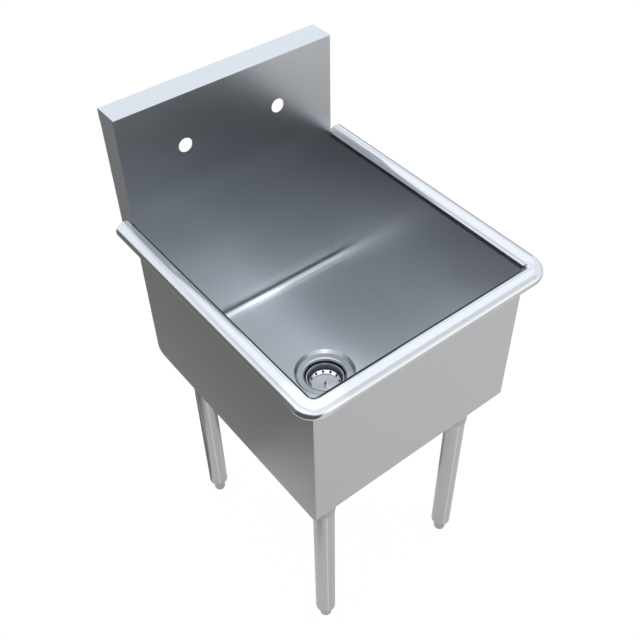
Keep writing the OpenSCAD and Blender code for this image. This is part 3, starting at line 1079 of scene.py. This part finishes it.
@dataclass
class SheetMetalwork:
    """Bowl, rolled rim and backsplash: the sheet steel that shows from the front."""

    steel: Colour = (0.585, 0.592, 0.60)
    # Buffed steel of the rim's corners, brighter as a painted highlight
    corner_steel: Colour = (0.645, 0.655, 0.668)
    roughness: float = 0.285
    corner_roughness: float = 0.15
    end_roughness: float = 0.38
    # Reach and gain of the painted highlight on the rim's front left corner
    glint_reach: float = 0.075
    glint_gain: float = 0.24
    roll: float = 0.017
    sheet: float = 0.0012
    floor: float = 0.4902
    rear: float = 0.25365
    bend: float = 0.0195
    recess: float = 0.009
    recess_ease: float = 0.35
    # How far below the backsplash's top its ledge starts
    ledge_bend: float = 0.0016
    # Top and foot of each roll's painted crease shadow above the roll's centre, and the brightness left in
    # it
    front_crease_shade: Triple = (0.0157, 0.0128, 0.12)
    left_crease_shade: Triple = (0.0134, 0.0095, 0.12)
    right_crease_shade: Triple = (0.0035, -0.0024, 0.45)
    # Brightness left by painted shade on the right roll's outer flank, and on the bowl's side of both side
    # panels
    flank_shade_share: float = 0.3
    side_share: float = 0.76
    # Height above which the rear wall is darker with painted shade
    inner_high: float = 0.52
    # Painted shade, with heights from the rim's top, from the backsplash's top, and from the roll's centre
    # in radii
    splash_shades: Shades = ((0.0, 1.0), (0.04, 0.86))
    splash_top_shades: Shades = ((-0.0025, 0.86), (-0.0015, 1.0))
    corner_painted_shades: Shades = ((-1.0, 0.72), (-1 / 3, 0.75), (1 / 3, 1.0), (1.0, 1.0))

    def build(self) -> None:
        """Dresses the sheet metal."""
        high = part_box("right_side_panel")[1]
        bowl_low, bowl_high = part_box("bowl_sheet")
        middle = high.z - self.roll
        wall_x, wall_y = (edge - 2 * self.roll for edge in (high.x, -bowl_low.y))
        # Painted highlight on the rim's front left corner
        glint = Glint((-wall_x - self.roll, -wall_y - self.roll, high.z), self.glint_reach, self.glint_gain)
        # Painted shade on the bowl's walls, painted light on its floor, painted highlights on the cove,
        # recess and ledge
        front = RollPolishAndPaintedLight(
            1, -1, wall_y, middle, self.roll, self.sheet, *self.front_crease_shade, inner_share=0.88,
            inner_low=self.inner_high, inner_tint=(0.985, 1.0, 1.015), floor_share=1.11,
            bend=(self.rear, self.floor, self.bend), recess=self.recess,
            ledge=bowl_high.z - self.ledge_bend, ledge_share=0.6)
        # Painted shade on the backsplash between the rim and the ledge
        splash = at_level(high.z, self.splash_shades) + at_level(bowl_high.z, self.splash_top_shades)
        dress("bowl_sheet", BrushedSteel(
            "sheet_brushed_across", self.steel, Grain.ACROSS, self.roughness, glint=glint, polish_and_light=front,
            ease=Ease(self.floor - self.recess, self.floor, self.recess_ease), shades=splash).make())
        # Painted shade on the lower half of the right rim corner
        dull = at_level(middle, self.corner_painted_shades, self.roll)
        upright = BrushedSteel(
            "sheet_brushed_upright", self.steel, Grain.UPRIGHT, self.end_roughness).make()
        # Each side's painted crease shadow, the brightness left by painted shade on its flank, and its
        # corner's painted shades
        sides = (("left", -1, self.left_crease_shade, 1.0, ()),
                 ("right", 1, self.right_crease_shade, self.flank_shade_share, dull))
        for side, sense, line, flank_shade_share, shades in sides:
            polish_and_light = RollPolishAndPaintedLight(0, sense, wall_x, middle, self.roll, self.sheet, *line,
                                crease_shade_blur=1.0, flank_shade_share=flank_shade_share, inner_share=self.side_share)
            corner = BrushedSteel(f"rim_corner_{side}", self.corner_steel, Grain.EVEN,
                                  self.corner_roughness, clouds=0.02, shades=shades, glint=glint).make()
            panel = BrushedSteel(f"sheet_brushed_{side}", self.steel, Grain.FRONT_TO_BACK, self.roughness,
                                 glint=glint, polish_and_light=polish_and_light).make()
            dress(f"{side}_side_panel", panel)
            dress(f"{side}_rim_corner", corner)
            dress(f"{side}_splash_end", upright)


@dataclass
class LegWork:
    """Legs with their sockets, inserts, screws and feet."""

    corners: tuple[str, ...] = ("front_left", "front_right", "rear_left", "rear_right")
    tube_steel: Colour = (0.59, 0.60, 0.60)
    socket_steel: Colour = (0.52, 0.53, 0.54)
    foot_steel: Colour = (0.54, 0.55, 0.55)
    screw_steel: Colour = (0.3, 0.3, 0.31)
    weld_grey: Colour = (0.5, 0.5, 0.52)
    # Direction in which each tube's painted highlight line faces
    highlight_turn: float = math.radians(-112.0)
    weld: WeldRing = field(default_factory=WeldRing)

    def build(self) -> None:
        """Dresses the legs and adds the weld beads round their plates."""
        socket = BrushedSteel("leg_socket_steel", self.socket_steel, Grain.EVEN, roughness=0.36).make()
        insert = CastMetal("foot_insert_cast", self.socket_steel).make()
        foot = BrushedSteel("foot_turned", self.foot_steel, Grain.EVEN, roughness=0.32).make()
        screw = BrushedSteel("clamping_screw", self.screw_steel, Grain.EVEN, roughness=0.4).make()
        recipe = self.weld.recipe(WeldMetal("weld_bead", self.weld_grey).make())
        dress("socket_set_screws", screw)
        for corner in self.corners:
            low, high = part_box(f"leg_{corner}")
            # Painted highlight line up the tube
            highlight_stripe = HighlightStripe(((low.x + high.x) / 2, (low.y + high.y) / 2), self.highlight_turn)
            dress(f"leg_{corner}", BrushedSteel(
                f"leg_tube_{corner}", self.tube_steel, Grain.UPRIGHT, roughness=0.26, highlight_stripe=highlight_stripe).make())
            dress(f"leg_socket_{corner}", socket)
            dress(f"foot_insert_{corner}", insert)
            dress(f"foot_{corner}", foot)
            self._weld_plate(corner, recipe)

    def _weld_plate(self, corner: str, recipe: GeometryRecipe) -> None:
        """Adds the bead that joins one socket's plate to the bowl.

        Args:
            corner: Which leg.
            recipe: The bead's tree.
        """
        low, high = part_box(f"leg_socket_{corner}")
        radius = (high.x - low.x) / 2
        centre = (low + high) / 2
        count = round(2 * math.pi * radius / self.weld.pitch)
        ring = recipe.piece(f"socket_weld_{corner}", {"Radius": radius, "Count": count})
        shift_mesh(ring, (centre.x, centre.y, high.z - self.weld.bead * self.weld.sink))
        fasten(ring, SINK)


@dataclass
class Drain:
    """Strainer, its fixings under the bowl, and the lift-out basket."""

    steel: Colour = (0.6, 0.61, 0.62)
    rubber: Colour = (0.03, 0.03, 0.032)
    board: Colour = (0.5, 0.42, 0.3)
    nut_grey: Colour = (0.5, 0.5, 0.52)
    holes: int = 12
    hole_ring: float = 0.03
    hole_edge: float = 0.0028
    # How far the bevel's upper edge lies below the basket's lip
    bevel_drop: float = 0.0135
    bevel_height: float = 0.006
    bevel_ease: float = 0.66
    # Painted highlight on the bevel and painted shade above and below it; heights from the bevel's upper
    # edge
    cup_shades: Shades = ((-0.0064, 0.82), (-0.0056, 1.5), (-0.0004, 1.5), (0.0004, 0.12))
    # Painted shade just below the basket's lip; heights from the basket's lip
    lip_shades: Shades = ((-0.004, 0.45), (-0.002, 1.0))
    # Painted shade and a painted highlight ring near the strainer's top; heights from the strainer's top
    throat_shades: Shades = ((-0.006, 0.35), (-0.003, 1.4), (0.0, 1.0))
    # Painted shade down the strainer's throat; heights from the basket's floor, and the share of the colour
    # at the basket's lip
    pit_shades: Shades = ((-0.01, 0.2),)
    pit_share: float = 0.25
    # Painted shade on the post and painted highlight on the knob; heights from the knob's top
    post_shades: Shades = ((-0.02, 0.2), (-0.0075, 0.2), (-0.0065, 1.65), (0.0, 1.65))
    thread: ScrewThread = field(default_factory=ScrewThread)
    # Radius of each thread, its start above the outlet's or the nut's foot, and its length
    outlet_run: Triple = (0.0239, 0.001, 0.02)
    throat_run: Triple = (0.0432, -0.0075, 0.007)

    def build(self) -> None:
        """Dresses the drain and adds its threads."""
        low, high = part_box("strainer_body")
        centre = ((low.x + high.x) / 2, (low.y + high.y) / 2)
        foot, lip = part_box("basket_cup")
        pit = at_level(foot.z, self.pit_shades) + ((lip.z, self.pit_share),)
        spun = SpunSteel("strainer_spun", self.steel, centre,
                         shades=pit + at_level(high.z, self.throat_shades)).make()
        dress("strainer_body", spun)
        bevel = lip.z - self.bevel_drop
        # Painted shadow round the basket's holes
        ring = HoleRing(self.holes, self.hole_ring, bevel - self.bevel_height / 2, self.hole_edge)
        dress("basket_cup", SpunSteel(
            "basket_spun", self.steel, centre, roughness=0.22, holes=ring,
            ease=Ease(bevel - self.bevel_height, bevel, self.bevel_ease),
            shades=at_level(bevel, self.cup_shades) + at_level(lip.z, self.lip_shades)).make())
        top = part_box("basket_post")[1].z
        dress("basket_post", SpunSteel("post_polished", self.steel, centre, roughness=0.15,
                                       shades=at_level(top, self.post_shades)).make())
        rubber = Rubber("rubber_black", self.rubber).make()
        for node in ("flange_seal", "rubber_gasket", "basket_stopper"):
            dress(node, rubber)
        dress("friction_ring", Fibre("fibre_board", self.board).make())
        dress("lock_nut", CastMetal("lock_nut_cast", self.nut_grey).make())
        recipe = self.thread.recipe(spun)
        nut_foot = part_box("lock_nut")[0].z
        self._wind_thread("outlet_thread", recipe, (*centre, low.z), self.outlet_run)
        self._wind_thread("throat_thread", recipe, (*centre, nut_foot), self.throat_run)

    def _wind_thread(self, name: str, recipe: GeometryRecipe, foot: Triple,
                     run: Triple) -> None:
        """Winds one thread.

        Args:
            name: The thread's name.
            recipe: Its tree.
            foot: The point on the drain's axis that its start is counted from.
            run: Its radius, its start above that point, and its length.
        """
        radius, start, length = run
        piece = recipe.piece(name, {"Radius": radius - self.thread.crest * self.thread.buried,
                                    "Height": length, "Turns": length / self.thread.pitch})
        shift_mesh(piece, (foot[0], foot[1], foot[2] + start))
        fasten(piece, SINK)


@dataclass(frozen=True)
class SoftBox:
    """One large soft lamp of the light tent.

    Attributes:
        name: Its name.
        place: Its middle.
        aim: The point that it faces.
        size: Its width and height.
        radiance: How bright its face looks, where 1 is white.
        tint: Its colour.
    """

    name: str
    place: Triple
    aim: Triple
    size: Pair
    radiance: float
    tint: Colour = (0.95, 0.99, 1.06)

    def hang(self) -> None:
        """Hangs the lamp."""
        light = bpy.data.lights.new(self.name, "AREA")
        light.shape = "RECTANGLE"
        light.size, light.size_y = self.size
        light.energy = self.radiance * math.pi * self.size[0] * self.size[1]
        light.color = self.tint
        lamp = add_object(self.name, light)
        lamp.location = self.place
        lamp.rotation_euler = (Vector(self.aim) - Vector(self.place)).to_track_quat("-Z", "Y").to_euler()
        lamp.visible_camera = False


@dataclass(frozen=True)
class Card:
    """A card on the studio's floor that only the steel's reflections show.

    Attributes:
        name: Its name.
        low: Its lowest X and Y.
        high: Its highest X and Y.
        tone: Its brightness, where 1 is white.
        patches: Softly edged patches that change the tone, each the centre's X and Y, the reach
            along X and Y, and the tone added there.
    """

    name: str
    low: Pair
    high: Pair
    tone: float
    patches: tuple[tuple[float, float, float, float, float], ...] = ()

    def material(self) -> bpy.types.Material:
        """Builds the card's finish."""
        made = bpy.data.materials.new(self.name)
        bench = fresh_bench(made)
        x, y, _ = bench.axes(bench.place())
        tone: Number = self.tone
        for centre_x, centre_y, reach_x, reach_y, added in self.patches:
            across, along = (x - centre_x) * (1 / reach_x), (y - centre_y) * (1 / reach_y)
            tone = (across * across + along * along).step(1.0, 0.0) * added + tone
        glow = bench.node("ShaderNodeEmission", {}, {"Color": WHITE, "Strength": tone})
        bench.close("ShaderNodeOutputMaterial", glow)
        return made


@dataclass
class Studio:
    """Light tent: pale floor, white surroundings, soft boxes all round and cards on the floor."""

    # Brightness of the surroundings to look at, and as a light
    surround: float = 1.0
    fill: float = 0.7
    # Their colour in reflections and as a light
    sky: Colour = (0.95, 1.0, 1.07)
    floor_tone: Colour = (0.75, 0.72, 0.68)
    floor_reach: float = 30.0
    # How much of the floor is plain white to the camera, how bright, and how much in reflections
    camera_share: float = 0.92
    camera_glow: float = 1.04
    gloss_share: float = 0.2
    boxes: tuple[SoftBox, ...] = (
        SoftBox("box_above", (0.3, 0.0, 3.0), (0.3, 0.0, 0.0), (4.0, 4.0), 0.42),
        SoftBox("box_behind", (0.0, 2.5, 1.8), (0.0, 0.0, 1.8), (5.0, 2.4), 0.3),
        SoftBox("box_front", (0.0, -2.4, 0.55), (0.0, 0.0, 0.55), (5.0, 1.1), 0.35, (1.02, 1.0, 0.96)),
        SoftBox("box_left", (-2.5, 0.0, 1.25), (0.0, 0.0, 1.25), (4.9, 1.5), 0.3),
        SoftBox("box_right", (2.5, 0.0, 1.5), (0.0, 0.0, 1.5), (4.9, 3.0), 0.2),
    )
    cards: tuple[Card, ...] = (
        Card("card_left", (-6.0, 0.12), (-0.4, 6.0), 0.2, ((-0.42, 0.0, 0.22, 0.28, 0.24),)),
        Card("card_front_left", (-6.0, -6.0), (-0.4, 0.12), 0.1, ((-0.38, 0.15, 0.33, 0.9, 0.34),)),
        Card("card_under", (-0.37, 0.22), (0.3, 2.0), 0.2),
        Card("card_under_right", (0.02, -0.05), (0.3, 0.22), 0.3),
        Card("card_right", (0.42, 0.35), (6.0, 6.0), 0.58),
        Card("card_front", (0.45, -6.0), (6.0, -0.95), 1.25, ((1.2, -0.9, 1.6, 0.8, -0.58),)),
    )
    card_height: float = 0.004

    def build(self) -> None:
        """Sets the world, the floor, the cards and the lamps."""
        self._world()
        reach = self.floor_reach
        self._ground("studio_floor", (-reach, -reach), (reach, reach), 0.0, self._floor_material())
        for card in self.cards:
            laid = self._ground(card.name, card.low, card.high, self.card_height, card.material())
            laid.visible_camera = False
            laid.visible_diffuse = False
            laid.visible_shadow = False
        for box in self.boxes:
            box.hang()
        bpy.context.scene.view_settings.view_transform = "Standard"

    def _sees_studio(self, bench: Bench) -> tuple[Term, Term]:
        """Finds the rays that see the studio itself.

        Args:
            bench: The bench of a world's or a material's tree.

        Returns:
            1 for the camera's rays and rays through glass, and 1 for reflections.
        """
        camera, gloss, through = (bench.node("ShaderNodeLightPath", output=kind) for kind in (
            "Is Camera Ray", "Is Glossy Ray", "Is Transmission Ray"))
        return camera.at_least(through), gloss

    def _world(self) -> None:
        """Makes the surroundings white to look at and softer as a light."""
        world = bpy.data.worlds.new("studio_surround")
        bench = fresh_bench(world)
        camera, gloss = self._sees_studio(bench)
        strength = camera.at_least(gloss) * (self.surround - self.fill) + self.fill
        colour = bench.mix(camera, rgba(self.sky), WHITE)
        background = bench.node("ShaderNodeBackground", {}, {"Color": colour, "Strength": strength})
        bench.close("ShaderNodeOutputWorld", background)
        bpy.context.scene.world = world

    def _ground(self, name: str, low: Pair, high: Pair, height: float,
                material: bpy.types.Material) -> bpy.types.Object:
        """Lays one flat rectangle that isn't part of the sink.

        Args:
            name: Its name.
            low: Its lowest X and Y.
            high: Its highest X and Y.
            height: Its height.
            material: Its finish.

        Returns:
            The rectangle.
        """
        mesh = bpy.data.meshes.new(name)
        corners = [(low[0], low[1], height), (high[0], low[1], height), (high[0], high[1], height),
                   (low[0], high[1], height)]
        mesh.from_pydata(corners, [], [(0, 1, 2, 3)])
        mesh.materials.append(material)
        made = add_object(name, mesh)
        return made

    def _floor_material(self) -> bpy.types.Material:
        """Builds the floor's finish.

        Returns:
            Matt white that keeps a faint shadow and is white to the camera.
        """
        material = bpy.data.materials.new("studio_floor")
        bench = fresh_bench(material)
        camera, gloss = self._sees_studio(bench)
        share = (camera * self.camera_share).at_least(gloss * self.gloss_share)
        strength = camera * (self.camera_glow - self.surround) + self.surround
        matt = bench.node("ShaderNodeBsdfDiffuse", {}, {"Color": rgba(self.floor_tone)})
        glow = bench.node("ShaderNodeEmission", {}, {"Color": WHITE, "Strength": strength})
        mixed = bench.node("ShaderNodeMixShader", {}, {0: share, 1: matt, 2: glow})
        bench.close("ShaderNodeOutputMaterial", mixed)
        return material


@dataclass
class ViewingCamera:
    """The photograph's viewpoint."""

    place: Triple = (-0.7263, -0.9436, 1.8397)
    forward: Triple = (0.4272, 0.5572, -0.7120)
    up: Triple = (0.4491, 0.5527, 0.7020)
    # Focal length and width of the picture in its own pixels
    focal_px: float = 884.57
    frame_px: float = 640.0
    sensor_mm: float = 36.0

    def build(self) -> None:
        """Sets the camera up."""
        lens = bpy.data.cameras.new("studio_camera")
        lens.sensor_width = self.sensor_mm
        lens.sensor_fit = "HORIZONTAL"
        lens.lens = self.focal_px / self.frame_px * self.sensor_mm
        camera = add_object("studio_camera", lens)
        back = -Vector(self.forward).normalized()
        right = Vector(self.up).cross(back).normalized()
        over = back.cross(right)
        turn = Matrix((right, over, back)).transposed().to_4x4()
        camera.matrix_world = Matrix.Translation(Vector(self.place)) @ turn
        bpy.context.scene.camera = camera


def note_sizes() -> None:
    """Updates the view layer."""
    bpy.context.view_layer.update()


def main() -> None:
    """Builds every sub-assembly, the studio and the camera."""
    logging.basicConfig(level=logging.INFO, format="%(name)s: %(message)s")
    ViewingCamera().build()
    for assembly in (SheetMetalwork(), LegWork(), Drain(), Studio()):
        LOG.info("building %s", type(assembly).__name__)
        assembly.build()
    note_sizes()


if __name__ == "__main__":
    main()
